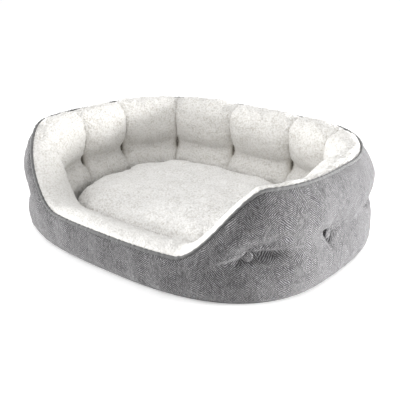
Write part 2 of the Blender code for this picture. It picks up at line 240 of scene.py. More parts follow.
class Section:
    # One side of the seam, from control point first to last of the whole section.
    def __init__(self, first, last, tuftHeight):
        fine = np.linspace(first, last, 2000)
        line = curveThrough(tallSection[:, None], fine[:, None])[:, 0]
        arc = np.concatenate([[0], np.cumsum(np.linalg.norm(np.diff(line, axis=0), axis=1))])
        self.length = arc[-1]
        self.fine, self.arc = fine, arc
        self.tuftArc = arc[int(np.argmin(abs(line[:, 1] - tuftHeight)))]

    def places(self, rows):
        # Places on the curve, evenly spaced on the tall section, and their distance from the tuft.
        arc = np.linspace(0, self.length, rows)
        return np.interp(arc, self.arc, self.fine), arc - self.tuftArc

    def at(self, where, distance):
        # Offset and height (rows, columns, 2), and the outward way of each.
        share = tallness(distance)[None, :, None]
        control = tallSection[:, None] * share + lowSection[:, None] * (1 - share)
        stations = np.array(seamDrift["at"]) * path.length / seamDrift["at"][-1]
        drift = np.interp(distance, stations, seamDrift["by"])
        start, full, fade, end = seamDrift["back"]
        atBack = smooth((distance - start) / (full - start)) * smooth((end - distance) / (end - fade))
        nearTuft = np.exp(-((fromTuft(distance) / seamDrift["tuftReach"]) ** 2))
        drift = drift + seamDrift["tuft"] * atBack * nearTuft
        nearSeam = 1 - smooth(abs(where - seamRow) / seamDrift["blend"])
        shape = curveThrough(control, where[:, None] + nearSeam[:, None] * drift[None])
        shape = leaned(shape, distance)
        return shape, sideways(shape)


def sideways(shape):
    # A quarter turn of the way along each section.
    along = np.gradient(shape, axis=0)
    along /= np.linalg.norm(along, axis=-1, keepdims=True) + 1e-12
    return np.stack([along[..., 1], -along[..., 0]], -1)


outerSide = Section(0, seamRow, outerTuftHeight)
innerSide = Section(seamRow, len(tallSection) - 1, innerTuftHeight)


def columnsAround(count, crowd, reach=0.022):
    # Distances round the wall, crowded near the tufts. The last one comes before the first again.
    fine = np.linspace(0, path.length, 20001)
    density = 1 + crowd * np.exp(-((fromTuft(fine) / reach) ** 2))
    total = np.concatenate([[0], np.cumsum((density[1:] + density[:-1]) / 2)])
    return np.interp(np.arange(count) / count * total[-1], total, fine)


def intoSpace(shape, distance):
    # Offset and height carried round the plan outline.
    outline, normal = path.outlineAt(distance)
    flat = outline[None] + shape[..., :1] * normal[None]
    return np.concatenate([flat, shape[..., 1:]], -1)


def gridObject(name, points, finish, uv=None, loopRows=False, loopColumns=True, fields=None, caps=()):
    # points is (rows, columns, 3). Faces run row to row, and round again where a way is a loop.
    # caps are the ends that a fan of triangles closes, and fields are values kept at the points.
    rows, columns = points.shape[:2]
    index = np.arange(rows * columns).reshape(rows, columns)
    down = np.concatenate([index, index[:1]]) if loopRows else index
    grid = np.concatenate([down, down[:, :1]], 1) if loopColumns else down
    quads = np.stack([grid[:-1, :-1], grid[:-1, 1:], grid[1:, 1:], grid[1:, :-1]], -1).reshape(-1, 4)
    vertices = points.reshape(-1, 3)
    loops, starts = [quads.ravel()], [np.arange(len(quads)) * 4]
    used = len(quads) * 4
    for cap in caps:
        ring = index[0][::-1] if cap == "first" else index[-1]
        if cap in ("left", "right"):
            ring = index[:, 0] if cap == "left" else index[::-1, -1]
        middle = len(vertices)
        vertices = np.vstack([vertices, vertices[ring].mean(0)])
        fan = np.stack([ring, np.roll(ring, -1), np.full(len(ring), middle)], -1)
        loops.append(fan.ravel())
        starts.append(used + np.arange(len(fan)) * 3)
        used += fan.size
    mesh = bpy.data.meshes.new(name)
    mesh.vertices.add(len(vertices))
    mesh.vertices.foreach_set("co", vertices.astype(np.float32).ravel())
    corner = np.concatenate(loops).astype(np.int32)
    mesh.loops.add(len(corner))
    mesh.loops.foreach_set("vertex_index", corner)
    start = np.concatenate(starts).astype(np.int32)
    mesh.polygons.add(len(start))
    mesh.polygons.foreach_set("loop_start", start)
    mesh.update(calc_edges=True)
    mesh.shade_smooth()
    if uv is not None:
        padded = np.zeros((len(vertices), 2))
        padded[: rows * columns] = uv.reshape(-1, 2)
        layer = mesh.uv_layers.new(name="cloth")
        flat = padded[corner]
        if loopColumns:
            # Where the last column meets the first, the cloth's length runs on.
            closing = np.arange(len(quads)) % columns == columns - 1
            ends = np.arange(len(quads) * 4).reshape(-1, 4)[closing].ravel()
            ends = ends[corner[ends] % columns == 0]
            flat[ends, 0] += path.length
        layer.data.foreach_set("uv", flat.astype(np.float32).ravel())
    for key, values in (fields or {}).items():
        attribute = mesh.attributes.new(key, "FLOAT", "POINT")
        padded = np.zeros(len(vertices), np.float32)
        padded[: rows * columns] = values.ravel()
        attribute.data.foreach_set("value", padded)
    mesh.materials.append(finish)
    obj = bpy.data.objects.new(name, mesh)
    scene.collection.objects.link(obj)
    return obj


class Tint:
    # One output socket. Arithmetic on it adds Math nodes, and node() adds any other.
    def __init__(self, tree, socket=None):
        self.tree, self.socket = tree, socket

    def node(self, kind, settings=None, sockets=None, output=0):
        made = self.tree.nodes.new(kind)
        for key, value in (settings or {}).items():
            setattr(made, key, value)
        for key, value in (sockets or {}).items():
            if isinstance(value, Tint):
                self.tree.links.new(value.socket, made.inputs[key])
            else:
                made.inputs[key].default_value = value
        return Tint(self.tree, made.outputs[output])

    def math(self, operation, *values):
        return self.node("ShaderNodeMath", {"operation": operation}, dict(enumerate(values)))

    def __add__(self, other):
        return self.math("ADD", self, other)

    def __sub__(self, other):
        return self.math("SUBTRACT", self, other)

    def __mul__(self, other):
        return self.math("MULTIPLY", self, other)

    def __truediv__(self, other):
        return self.math("DIVIDE", self, other)

    def __radd__(self, other):
        return self.math("ADD", other, self)

    def __rsub__(self, other):
        return self.math("SUBTRACT", other, self)

    def __rmul__(self, other):
        return self.math("MULTIPLY", other, self)

    def __abs__(self):
        return self.math("ABSOLUTE", self)

    def fraction(self):
        return self.math("FRACT", self)

    def whole(self):
        return self.math("FLOOR", self)

    def above(self, level):
        return self.math("GREATER_THAN", self, level)

    def parts(self):
        # The first two numbers of a vector.
        split = self.node("ShaderNodeSeparateXYZ", {}, {0: self}).socket.node.outputs
        return Tint(self.tree, split[0]), Tint(self.tree, split[1])

    def clamp(self):
        return self.node("ShaderNodeClamp", {}, {0: self})

    def ease(self, low, high, start=0.0, end=1.0):
        # A smooth step from start to end as this value goes from low to high.
        between = {0: self, 1: low, 2: high, 3: start, 4: end}
        return self.node("ShaderNodeMapRange", {"interpolation_type": "SMOOTHSTEP"}, between)

    def mix(self, first, second):
        # first where this value is 0, second where it is 1.
        colours = {0: self, 6: first, 7: second}
        return self.node("ShaderNodeMix", {"data_type": "RGBA"}, colours, output=2)


def rgb(red, green, blue):
    return (red, green, blue, 1.0)


def newMaterial(name, roughness, constants=None):
    made = bpy.data.materials.new(name)
    made.use_nodes = True
    shader = made.node_tree.nodes["Principled BSDF"]
    shader.inputs["Roughness"].default_value = roughness
    for key, value in (constants or {}).items():
        shader.inputs[key].default_value = value
    return made, Tint(made.node_tree), shader


def finishWith(tint, shader, colour, height, depth, strength):
    # Colour, and a relief of the given depth in metres.
    tint.tree.links.new(colour.socket, shader.inputs["Base Color"])
    relief = tint.node("ShaderNodeBump", {}, {"Strength": strength, "Distance": depth, "Height": height})
    tint.tree.links.new(relief.socket, shader.inputs["Normal"])


def noise(tint, where, scale, detail=2.0, rough=0.5, distortion=0.0):
    # Fractal noise from 0 to 1, with scale features to a metre.
    sockets = {"Vector": where, "Scale": scale, "Detail": detail, "Roughness": rough}
    sockets["Distortion"] = distortion
    return tint.node("ShaderNodeTexNoise", {}, sockets)


tweed = {
    "column": 0.026,  # width of one leg of the herringbone
    "rib": 0.0042,  # height of one diagonal rib
    "dark": rgb(0.020, 0.019, 0.020),
    "mid": rgb(0.068, 0.066, 0.068),
    "light": rgb(0.370, 0.364, 0.372),
}


def makeTweed():
    # Ribs climb across each leg and fall across the next. Light yarn on a dark ground, with flecks.
    soft = {"Sheen Weight": 0.22, "Specular IOR Level": 0.2}
    made, tint, shader = newMaterial("greyHerringbone", 0.92, soft)
    legs = 2 * round(path.length / (2 * tweed["column"]))
    across, up = tint.node("ShaderNodeUVMap", {"uv_map": "cloth"}).parts()
    place = tint.node("ShaderNodeTexCoord", output=3)
    drift = noise(tint, place, 42.0, 2.0)
    leg = across * (legs / path.length) + (drift - 0.5) * 0.45
    slope = (leg * 0.5).fraction().above(0.5) * 2 - 1  # legs lean left and right by turns
    climb = up + slope * (leg.fraction() - 0.5) * tweed["column"] * 1.05
    broken = leg.whole() * 0.37
    rib = climb / tweed["rib"] + broken
    ribShape = abs(rib.fraction() - 0.5) * 2
    cell = tint.node("ShaderNodeCombineXYZ", {}, {0: leg * 3.1, 1: rib.whole() * 0.73, 2: 0.0})
    yarn = noise(tint, cell, 2.6, 2.0, 0.7)
    speck = noise(tint, place, 430.0, 2.0, 0.6)
    blotch = noise(tint, place, 11.0, 3.0)
    light = ribShape.ease(0.30, 0.78) * yarn.ease(0.30, 0.62)
    dark = (1 - ribShape).ease(0.62, 0.98)
    ground = dark.mix(tweed["mid"], tweed["dark"])
    woven = (light * speck.ease(0.34, 0.62, 0.30, 1.15)).mix(ground, tweed["light"])
    colour = (blotch.ease(0.3, 0.75) * 0.22).mix(woven, tweed["mid"])
    height = ribShape * 0.7 + speck * 0.5
    finishWith(tint, shader, colour, height, 0.0011, 0.8)
    return made


plush = {
    "wall": rgb(0.800, 0.788, 0.766),
    # The cushion's plush is lighter than the wall's: partly its own whiter pile, partly painted light
    # making up for the light that the wall keeps off the cushion in the well.
    "cushion": rgb(0.900, 0.890, 0.874),
    # The gap colour darkens the gaps between the curls, and is also the painted shade in the creases
    # between the puffs.
    "gap": rgb(0.460, 0.430, 0.375),
    # Painted shade: the near-black spot where a tuft pulls the lining in, also laid over the inner
    # buttons.
    "tuft": rgb(0.130, 0.118, 0.100),
    "curl": 200.0,  # curls to a metre, about
}


def makePlush(name, white):
    # Curls with darker gaps between them, as deep as the pile is high, and painted shade in the creases
    # and at the tufts.
    made, tint, shader = newMaterial(name, 0.95, {"Sheen Weight": 0.35, "Specular IOR Level": 0.15})
    place = tint.node("ShaderNodeTexCoord", output=3)
    curls = noise(tint, place, plush["curl"], 1.0, 0.5, 0.6)
    cells = {"Vector": place, "Scale": plush["curl"] * 1.15}
    knots = tint.node("ShaderNodeTexVoronoi", {"feature": "F1"}, cells)
    ridge = 1 - abs(curls - 0.5) * 4.0
    fine = noise(tint, place, plush["curl"] * 3.1, 2.0, 0.6)
    patch = noise(tint, place, 30.0, 2.0)
    pile = tint.node("ShaderNodeAttribute", {"attribute_name": "pile"}, output=2)
    crease = tint.node("ShaderNodeAttribute", {"attribute_name": "crease"}, output=2)
    depth = pile * patch.ease(0.30, 0.68, 0.65, 1.0)
    gap = (knots.ease(0.38, 0.80) * 0.70 + curls.ease(0.54, 0.72) * 0.55).clamp() * depth
    # Painted shade: the crease field darkens the colour towards the gap colour in the creases, and towards
    # the dark tuft colour at the tufts and on the inner buttons.
    white = (crease * 0.80).mix(white, plush["gap"])
    white = crease.ease(0.72, 1.20).mix(white, plush["tuft"])
    colour = (gap * 0.82).mix(white, plush["gap"])
    height = (ridge.clamp() * 0.4 + (1 - knots) * 0.9 + fine * 0.25) * (depth * 0.85 + 0.15)
    finishWith(tint, shader, colour, height, 0.0022, 1.0)
    return made


def makePiping():
    # Bias-cut cloth: threads wind along the tube.
    made, tint, shader = newMaterial("darkPiping", 0.85, {"Sheen Weight": 0.2, "Specular IOR Level": 0.25})
    place = tint.node("ShaderNodeTexCoord", output=3)
    along, around = tint.node("ShaderNodeUVMap", {"uv_map": "cloth"}).parts()
    thread = abs((along * 620.0 + around * 3.0).fraction() - 0.5) * 2
    speck = noise(tint, place, 900.0, 2.0)
    patch = noise(tint, place, 30.0, 2.0)
    colour = (thread * 0.5 + speck * 0.35).mix(rgb(0.085, 0.086, 0.086), rgb(0.215, 0.215, 0.214))
    colour = (patch.ease(0.35, 0.7) * 0.35).mix(colour, rgb(0.110, 0.110, 0.110))
    finishWith(tint, shader, colour, thread + speck, 0.0005, 0.6)
    return made


def makeBaseCloth():
    # Dark felted cloth with even rows of small non-slip dots.
    made, tint, shader = newMaterial("baseCloth", 0.9, {"Specular IOR Level": 0.25})
    place = tint.node("ShaderNodeTexCoord", output=3)
    evenly = {"Vector": place, "Scale": 80.0, "Randomness": 0.0}
    dots = tint.node("ShaderNodeTexVoronoi", {"feature": "F1"}, evenly)
    dot = 1 - dots.ease(0.18, 0.24)
    weave = noise(tint, place, 900.0, 2.0)
    cloth = weave.mix(rgb(0.070, 0.070, 0.072), rgb(0.160, 0.160, 0.164))
    colour = (dot * 0.8).mix(cloth, rgb(0.240, 0.240, 0.245))
    finishWith(tint, shader, colour, dot + weave * 0.3, 0.0006, 0.7)
    return made


def makePlainCloth():
    # Warp and weft, each a triangle wave.
    made, tint, shader = newMaterial("plainCloth", 0.9, {"Specular IOR Level": 0.25})
    place = tint.node("ShaderNodeTexCoord", output=3)
    x, y = place.parts()
    warp = abs((x * 900.0).fraction() - 0.5) * 2
    weft = abs((y * 900.0).fraction() - 0.5) * 2
    weave = warp * weft
    patch = noise(tint, place, 18.0, 3.0)
    colour = (weave * 0.6 + patch * 0.4).mix(rgb(0.480, 0.465, 0.440), rgb(0.700, 0.685, 0.655))
    finishWith(tint, shader, colour, weave, 0.0004, 0.6)
    return made


def makeFibre():
    # Loose tangled fibre: strongly twisted noise.
    made, tint, shader = newMaterial("polyesterFibre", 0.95, {"Sheen Weight": 0.4})
    place = tint.node("ShaderNodeTexCoord", output=3)
    tangle = noise(tint, place, 160.0, 5.0, 0.7, 2.5)
    colour = tangle.ease(0.3, 0.7).mix(rgb(0.640, 0.640, 0.640), rgb(0.860, 0.860, 0.855))
    finishWith(tint, shader, colour, tangle, 0.003, 0.9)
    return made


def makeTwine():
    # Diagonal bands, as in laid twine.
    made, tint, shader = newMaterial("waxedTwine", 0.6)
    place = tint.node("ShaderNodeTexCoord", output=3)
    twist = tint.node(
        "ShaderNodeTexWave",
        {"wave_type": "BANDS", "bands_direction": "DIAGONAL"},
        {"Vector": place, "Scale": 260.0, "Distortion": 1.5, "Detail": 1.0},
        output=1,
    )
    colour = twist.mix(rgb(0.420, 0.400, 0.360), rgb(0.640, 0.620, 0.570))
    finishWith(tint, shader, colour, twist, 0.0004, 0.8)
    return made


greyHerringbone = makeTweed()
whitePlush = makePlush("whitePlush", plush["wall"])
# A lighter copy of the wall's plush: partly the cushion's own whiter colour, partly painted light.
cushionPlushWithPaintedLight = makePlush("cushionPlushWithPaintedLight", plush["cushion"])
darkPiping = makePiping()
baseCloth = makeBaseCloth()
plainCloth = makePlainCloth()
polyesterFibre = makeFibre()
waxedTwine = makeTwine()
print("finishes ready")


cover = {
    "columns": 860,
    "rows": 76,
    "backStep": 2,  # the backing has every second row of the face
    "cloth": 0.002,
    "pinch": 0.0150,  # how far a button pulls the cloth in past the waist
    "pinchReach": 0.034,
    "waist": 0.0035,  # and the cloth above and below it
    "waistWide": 0.030,
    "waistTall": 0.085,
    "pucker": 0.0011,  # gathers under the piping, of these lengths
    "puckerLengths": (0.0098, 0.0131, 0.0217),
    "puckerReach": 0.009,
    "uneven": ((0.085, 3, 0.0016), (0.030, 4, 0.0006)),  # length, seed and depth
}

fold = {
    "wide": 0.0052,  # half width at the button
    "spread": 0.040,  # more for each metre away from it
    "ridge": 0.45,  # height of the ridges beside the groove, of its depth
    "bend": 0.004,
    "bendRate": 60,
    "ways": (0, 70, 110, 180, 235, 300),  # of the seeded folds, in degrees
    "swing": 16,
    "lengths": (0.035, 0.085),
    "depths": (0.0018, 0.0042),
}

# Folds that run out of a button: which tuft, the way in degrees (0 is rightwards), length, depth.
pulls = [
    (1, -13, 0.130, 0.0048), (1, 4, 0.110, 0.0050), (1, 172, 0.090, 0.0034), (1, 186, 0.080, 0.0026),
    (1, -4, 0.100, 0.0050), (1, 218, 0.045, 0.0030), (1, 95, 0.040, 0.0022), (2, 4, 0.085, 0.0048),
    (2, -84, 0.080, 0.0036), (2, 152, 0.060, 0.0036), (2, -35, 0.050, 0.0030), (3, -60, 0.050, 0.0036),
    (3, 175, 0.060, 0.0040), (10, 0, 0.055, 0.0050), (10, 178, 0.060, 0.0050), (10, 75, 0.045, 0.0030),
]
pullRng = np.random.default_rng(11)
for tuft in range(3, bed["tufts"] + 1):
    for way in fold["ways"]:
        turn = way + pullRng.uniform(-fold["swing"], fold["swing"])
        pulls.append((tuft, turn, pullRng.uniform(*fold["lengths"]), pullRng.uniform(*fold["depths"])))


def pullFolds(distance, rise, folds):
    # Each fold is a groove along a ray, exp(-(p/w)^2), with a low ridge each side, fading to its end.
    total = np.zeros((len(rise), len(distance)))
    for tuft, way, length, depth in folds:
        dx = (distance - tuftAt[tuft - 1] + path.length / 2) % path.length - path.length / 2
        near = np.where(abs(dx) < length + 0.03)[0]  # the columns that the fold can reach
        x, y = np.meshgrid(dx[near], rise)
        a = math.radians(way)
        along = x * math.cos(a) + y * math.sin(a)
        bend = fold["bend"] * np.sin(along * fold["bendRate"] + tuft * 2.1 + way)
        aside = -x * math.sin(a) + y * math.cos(a) + bend
        wide = fold["wide"] + fold["spread"] * np.clip(along, 0, None)
        fade = smooth((along + 0.002) / 0.010) * (1 - smooth(along / length))
        ridge = fold["ridge"] * np.exp(-(((abs(aside) - 2.1 * wide) / wide) ** 2))
        total[:, near] += depth * fade * (np.exp(-((aside / wide) ** 2)) - ridge)
    return total


def coverDepth(distance, rise):
    # How far the cover is drawn in: a pinch at each button, its folds, and gathers under the piping.
    dx = fromTuft(distance)[None]
    dy = rise[:, None]
    share = tallness(distance)[None]
    reach = np.hypot(dx / 1.25, dy)
    pinch = cover["pinch"] * np.exp(-((reach / cover["pinchReach"]) ** 1.15))
    waist = np.exp(-abs(dx) / cover["waistWide"]) * np.exp(-((dy / cover["waistTall"]) ** 2))
    depth = share * (pinch + cover["waist"] * waist) + pullFolds(distance, rise, pulls) * share
    belowSeam = (rise[-1] - rise)[:, None]
    rng = np.random.default_rng(5)
    gather = np.zeros(len(distance))
    for length in cover["puckerLengths"]:
        gather += np.sin(distance * 2 * math.pi / length + rng.uniform(0, 6)) / 3
    gather = cover["pucker"] * np.abs(gather)[None] ** 0.7
    return depth + gather * np.exp(-belowSeam / cover["puckerReach"]) * (0.5 + 0.5 * share)


def unevenness(points, layers):
    # Seeded waves, each of a length, a seed and a depth.
    return sum(waves(points, length, seed) * depth for length, seed, depth in layers)


def coverShape(distance, rows, inset=0.0, detail=True):
    # The outer section drawn in along its own normal, and kept above the foot.
    where, rise = outerSide.places(rows)
    shape, side = outerSide.at(where, distance)
    depth = coverDepth(distance, rise)
    if detail:
        soft = unevenness(intoSpace(shape, distance), cover["uneven"])
        ends = smooth(np.arange(rows) / 6) * smooth((rows - 1 - np.arange(rows)) / 8)
        depth = depth - soft * ends[:, None]
    shape = shape - (depth + inset)[..., None] * side
    shape[..., 1] = np.maximum(shape[..., 1], bed["foot"])
    return shape


def lengthsAlong(shape):
    # Running length of each section from its first row.
    step = np.linalg.norm(np.diff(shape, axis=0), axis=-1)
    return np.concatenate([np.zeros((1,) + step.shape[1:]), np.cumsum(step, 0)])


def makeOuterCover():
    # Face and backing in one closed loop of rows. Its own map is length round and height up the cloth.
    distance = columnsAround(cover["columns"], 2.4)
    front = coverShape(distance, cover["rows"])
    back = coverShape(distance, cover["rows"], cover["cloth"])[:: -cover["backStep"]]
    plain, _ = outerSide.at(outerSide.places(cover["rows"])[0], distance)
    height = lengthsAlong(plain)
    across = np.broadcast_to(distance[None], height.shape)
    uvFront = np.stack([across, height], -1)
    uvBack = uvFront[:: -cover["backStep"]]
    points = np.concatenate([intoSpace(front, distance), intoSpace(back, distance)])
    uv = np.concatenate([uvFront, uvBack])
    return gridObject("outerCover", points, greyHerringbone, uv, loopRows=True)


outerCover = makeOuterCover()
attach(outerCover, "bed")
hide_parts("outer_cover")
print("outer cover ready")


lining = {
    "columns": 750,
    "rows": 98,
    "backStep": 3,  # the backing has every third row of the face
    "cloth": 0.005,
    "dimple": 0.0050,  # at each inner button
    "dimpleReach": 0.010,
    "roundness": 2.1,  # of the puffs
    "uneven": ((0.070, 21, 0.0014), (0.026, 22, 0.0006)),  # length, seed and depth
    "curl": (0.0130, 23, 0.0011),
    "calm": 0.40,  # share of the unevenness left on the low front, which is stuffed smooth
}

# Depth of the crease between two puffs, by distance above its tuft along the lining.
creaseDepth = [
    (-0.110, 0.0020), (-0.090, 0.0090), (-0.060, 0.0150), (-0.030, 0.0190), (0.000, 0.0170),
    (0.030, 0.0270), (0.060, 0.0280), (0.090, 0.0210), (0.120, 0.0155), (0.150, 0.0125),
    (0.180, 0.0045), (0.205, 0.0),
]


def puffShare(distance):
    # 0 at a tuft, 1 in the middle of the puff beside it.
    gaps = np.diff(np.concatenate([tuftAt, tuftAt[:1] + path.length]))
    last = (np.searchsorted(tuftAt, distance) - 1) % len(tuftAt)
    half = np.minimum(gaps[last] / 2, tuftPitch * 0.6)
    return np.clip(abs(fromTuft(distance)) / half, 0, 1)


def tuftReach(distance, below):
    # How far each point of the lining is from its nearest tuft.
    return np.hypot(fromTuft(distance)[None], below[:, None] * 1.2)


def liningDepth(distance, below):
    # From crease to crease the cloth arches like a superellipse, (1 - (1 - a)^p)^(1/p).
    # Gives how far it is drawn in, and how near it is to a crease, from 0 to 1.
    p = lining["roundness"]
    nearCrease = 1 - (1 - (1 - puffShare(distance)) ** p)[None] ** (1 / p)
    above, deep = np.array(creaseDepth).T
    crease = np.interp(-below, above, deep)[:, None]
    share = tallness(distance)[None]
    dimple = lining["dimple"] * np.exp(-tuftReach(distance, below) / lining["dimpleReach"])
    return share * (crease * nearCrease + dimple), nearCrease * share * np.ones_like(crease)


def liningShape(distance, rows, inset=0.0, detail=True):
    # The inner section drawn in along its own normal, and kept above the foot.
    where, below = innerSide.places(rows)
    shape, side = innerSide.at(where, distance)
    depth, crease = liningDepth(distance, below)
    if detail:
        points = intoSpace(shape, distance)
        soft = unevenness(points, lining["uneven"])
        length, seed, tall = lining["curl"]
        curls = (1 - abs(waves(points, length, seed))) * tall
        ends = smooth(np.arange(rows) / 4) * smooth((rows - 1 - np.arange(rows)) / 4)
        calm = lining["calm"] + (1 - lining["calm"]) * tallness(distance)[None]
        depth = depth - (soft + curls) * calm * ends[:, None]
    shape = shape - (depth + inset)[..., None] * side
    shape[..., 1] = np.maximum(shape[..., 1], bed["foot"])
    return shape, crease, below


def makeWallLining():
    # Face and backing in one closed loop of rows, with the pile's height and the painted shade of the
    # creases and the tufts as fields.
    distance = columnsAround(lining["columns"], 2.2)
    front, crease, below = liningShape(distance, lining["rows"])
    back = liningShape(distance, lining["rows"], lining["cloth"])[0][:: -lining["backStep"]]
    points = np.concatenate([intoSpace(front, distance), intoSpace(back, distance)])
    share = tallness(distance)[None]
    inside = smooth((below + 0.115) / 0.06)[:, None]
    # The pile's gaps darken the plush, so the rim tops, with the most pile, come out darker than the
    # inside: partly the pile's own grain, partly painted shade on the rims that the lamps light most.
    pile = (1.0 - 0.20 * inside) * (0.52 + 0.48 * share)  # less down the inside and along the front
    # Painted shade: dark in the creases near tuft height, and darkest in a spot at each tuft.
    deep = 0.7 * crease**3 * np.exp(-((below[:, None] / 0.060) ** 2))
    tuft = 1.25 * share * np.exp(-((tuftReach(distance, below) / 0.009) ** 2))
    deep = np.maximum(deep, tuft)
    hidden = np.zeros(back.shape[:2])
    fields = {"pile": np.concatenate([pile, hidden]), "crease": np.concatenate([deep, hidden])}
    return gridObject("wallLining", points, whitePlush, loopRows=True, fields=fields)


wallLining = makeWallLining()
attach(wallLining, "bed")
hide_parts("wall_lining")
print("wall lining ready")


piping = {
    "radius": 0.0036,
    "columns": 1100,
    "around": 12,
    "seat": (0.55, 0.83),  # the way it stands out of the seam, outwards and up
    "proud": 0.35,  # of its radius
}


def makeRimPiping():
    # A round tube along the seam: a circle carried across the seam's own way.
    distance = np.arange(piping["columns"]) / piping["columns"] * path.length
    shape = coverShape(distance, cover["rows"])[-1]
    wave = distance * 2 * math.pi
    wobble = 0.00035 * np.sin(wave / 0.0131) + 0.0003 * np.sin(wave / 0.0093 + 1)
    centre = shape + (piping["radius"] * piping["proud"]) * np.array(piping["seat"])
    turn = np.arange(piping["around"]) / piping["around"] * 2 * math.pi
    ring = np.stack([np.cos(turn), np.sin(turn)], -1)[:, None]
    tube = centre[None] + (piping["radius"] + wobble)[None, :, None] * ring
    uv = np.stack(np.broadcast_arrays(distance[None], turn[:, None] / (2 * math.pi)), -1)
    return gridObject("rimPiping", intoSpace(tube, distance), darkPiping, uv, loopRows=True)


rimPiping = makeRimPiping()
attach(rimPiping, "bed")
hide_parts("rim_piping")
print("rim piping ready")


button = {
    "rings": 10,
    "around": 28,
    "stand": {"outer": 0.0055, "inner": 0.0005},  # how far its middle is above the cloth
    "thick": 0.30,  # of its width
    "roundness": 0.62,  # 1 is a ball, and less has a fuller edge
    "front": 0.62,  # share of the thickness in front of its middle
}


def clothAt(kind, number):
    # The point of the cover or the lining that a tuft pulls in.
    distance = tuftAt[number - 1 : number]
    if kind == "outer":
        shape, reach = coverShape(distance, cover["rows"]), outerSide.places(cover["rows"])[1]
    else:
        shape, _, reach = liningShape(distance, lining["rows"])
    return intoSpace(shape, distance)[int(np.argmin(abs(reach))), 0]


def buttonPoints(kind, number):
    # A turned dome over a flat back: radius sin(t)^k and height cos(t), seated on the cloth at the tuft.
    low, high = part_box(f"{kind}_button_{number:02d}")
    _, normal = path.outlineAt(tuftAt[number - 1 : number])
    out = np.array([*normal[0], 0.0]) * (1 if kind == "outer" else -1)
    middle = clothAt(kind, number) + out * button["stand"][kind]
    aside = np.cross([0, 0, 1], out)
    radius = (high.z - low.z) / 2
    thick = radius * 2 * button["thick"]
    t = np.linspace(0.04, math.pi - 0.04, button["rings"])[:, None]
    turn = np.arange(button["around"])[None] / button["around"] * 2 * math.pi
    gathers = 1 + 0.02 * np.sin(turn * 9) * np.sin(t) ** 6
    wide = radius * np.sin(t) ** button["roundness"] * gathers
    share = np.where(np.cos(t) > 0, button["front"], 1 - button["front"])
    tall = np.cos(t) * thick * share * np.ones_like(turn)
    up = np.array([0, 0, 1.0])
    spread = wide[..., None] * (np.cos(turn)[..., None] * aside + np.sin(turn)[..., None] * up)
    points = middle + spread + tall[..., None] * out
    uv = np.stack([wide * np.cos(turn) + 0.3, wide * np.sin(turn) + 0.3], -1)
    return points, uv


def makeButtons():
    # An outer button in the cover's cloth and an inner one in plush at each tuft.
    for number in range(1, bed["tufts"] + 1):
        for kind, finish, slot in (
            ("outer", greyHerringbone, "grey_herringbone"),
            ("inner", whitePlush, "white_plush"),
        ):
            points, uv = buttonPoints(kind, number)
            plain = np.ones(points.shape[:2])
            # The crease field of 1 darkens the inner buttons' plush: painted shade, so that each reads as
            # a dark point in its tuft. The cover's cloth doesn't read this field.
            fields = {"pile": plain * 0.8, "crease": plain}
            name = f"{kind}Button{number:02d}"
            made = gridObject(name, points, finish, uv, fields=fields, caps=("first", "last"))
            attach(made, "bed")
            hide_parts(f"{kind}_button_{number:02d}")


makeButtons()
for number in range(1, bed["tufts"] + 1):
    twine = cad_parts[f"tuft_twine_{number:02d}"]
    twine.data.materials.clear()
    twine.data.materials.append(waxedTwine)
print("buttons and twines ready")


fill = {
    "coverGap": 0.010,  # from the cloth's inner face
    "liningGap": 0.007,
    "coverRows": 26,
    "liningRows": 38,
    "columns": 34,
    "twineRoom": 0.0035,
}


def fillLoops(distance):
    # The cover's and the lining's inner faces joined into one loop, a little inside both.
    outer = coverShape(distance, fill["coverRows"], cover["cloth"] + fill["coverGap"], False)
    inner, _, _ = liningShape(distance, fill["liningRows"], lining["cloth"] + fill["liningGap"], False)
    loop = np.concatenate([outer[:-1], inner[1:]])
    loop[..., 1] = np.maximum(loop[..., 1], bed["foot"] + fill["liningGap"] / 2)
    return intoSpace(loop, distance)


def makeFill(node, name, start, end):
    # The loops from just after one tuft's twine to just before the next one's, closed at both ends.
    distance = np.linspace(start + fill["twineRoom"], end - fill["twineRoom"], fill["columns"])
    ends = {"loopRows": True, "loopColumns": False, "caps": ("left", "right")}
    made = gridObject(name, fillLoops(distance), polyesterFibre, **ends)
    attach(made, "bed")
    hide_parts(node)


for number in range(1, bed["tufts"]):
    makeFill(f"wall_fill_{number:02d}", f"wallFill{number:02d}", tuftAt[number - 1], tuftAt[number])
makeFill("front_roll_fill", "frontRollFill", tuftAt[-1], tuftAt[0] + path.length)
print("fill ready")


panel = {"rings": 5, "columns": 180, "middle": 0.06}


def ovalAt(columns, offset):
    # The plan outline moved along its normal, as a ring of points.
    angle = np.linspace(-math.pi / 2, 1.5 * math.pi, columns, endpoint=False)
    return planAt(angle, np.full(columns, offset))[0]


def makeBasePanel():
    # A flat oval: rings of the plan outline drawn in to the middle, top and underside.
    edge = ovalAt(panel["columns"], panelHigh.x - bed["halfLength"])
    flat = edge[None] * np.linspace(1, panel["middle"], panel["rings"])[:, None, None]
    top = np.concatenate([flat, np.full(flat.shape[:2] + (1,), panelHigh.z)], -1)
    under = top.copy()
    under[..., 2] = panelLow.z
    points = np.concatenate([under[::-1], top])
    return gridObject("basePanel", points, baseCloth, caps=("first", "last")), edge


basePanel, panelEdge = makeBasePanel()
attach(basePanel, "bed")
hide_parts("base_panel")
print("base panel ready")


